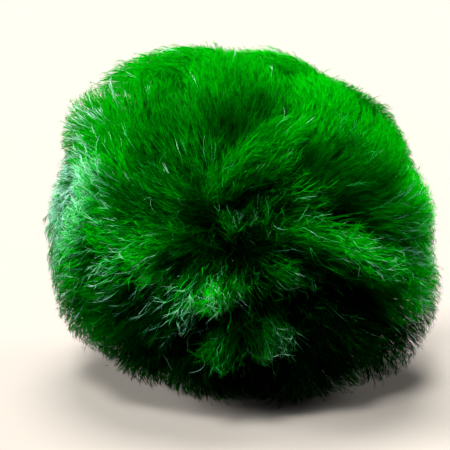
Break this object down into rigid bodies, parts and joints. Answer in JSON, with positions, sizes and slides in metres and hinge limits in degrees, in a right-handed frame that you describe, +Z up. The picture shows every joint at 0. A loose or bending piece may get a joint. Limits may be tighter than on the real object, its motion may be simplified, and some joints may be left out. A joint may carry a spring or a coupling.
{
  "type": "marimo moss ball",
  "caption": "Soft green ball of aquatic algae filaments combed into locks, for an aquarium or water jar, resting on a small flat spot.",
  "frame": {"origin": "middle of the flat spot that the ball rests on", "axes": "+Z up, +X along the ball's widest way, and the side with the combed crown and the brightest locks faces -Y"},
  "size_m": [0.05, 0.0466, 0.0426],
  "materials": {
    "moss": "soft, fibrous and matt, deep saturated green with paler filament tips"
  },
  "bodies": {
    "root": {"moss_ball": "moss"}
  },
  "joints": []
}
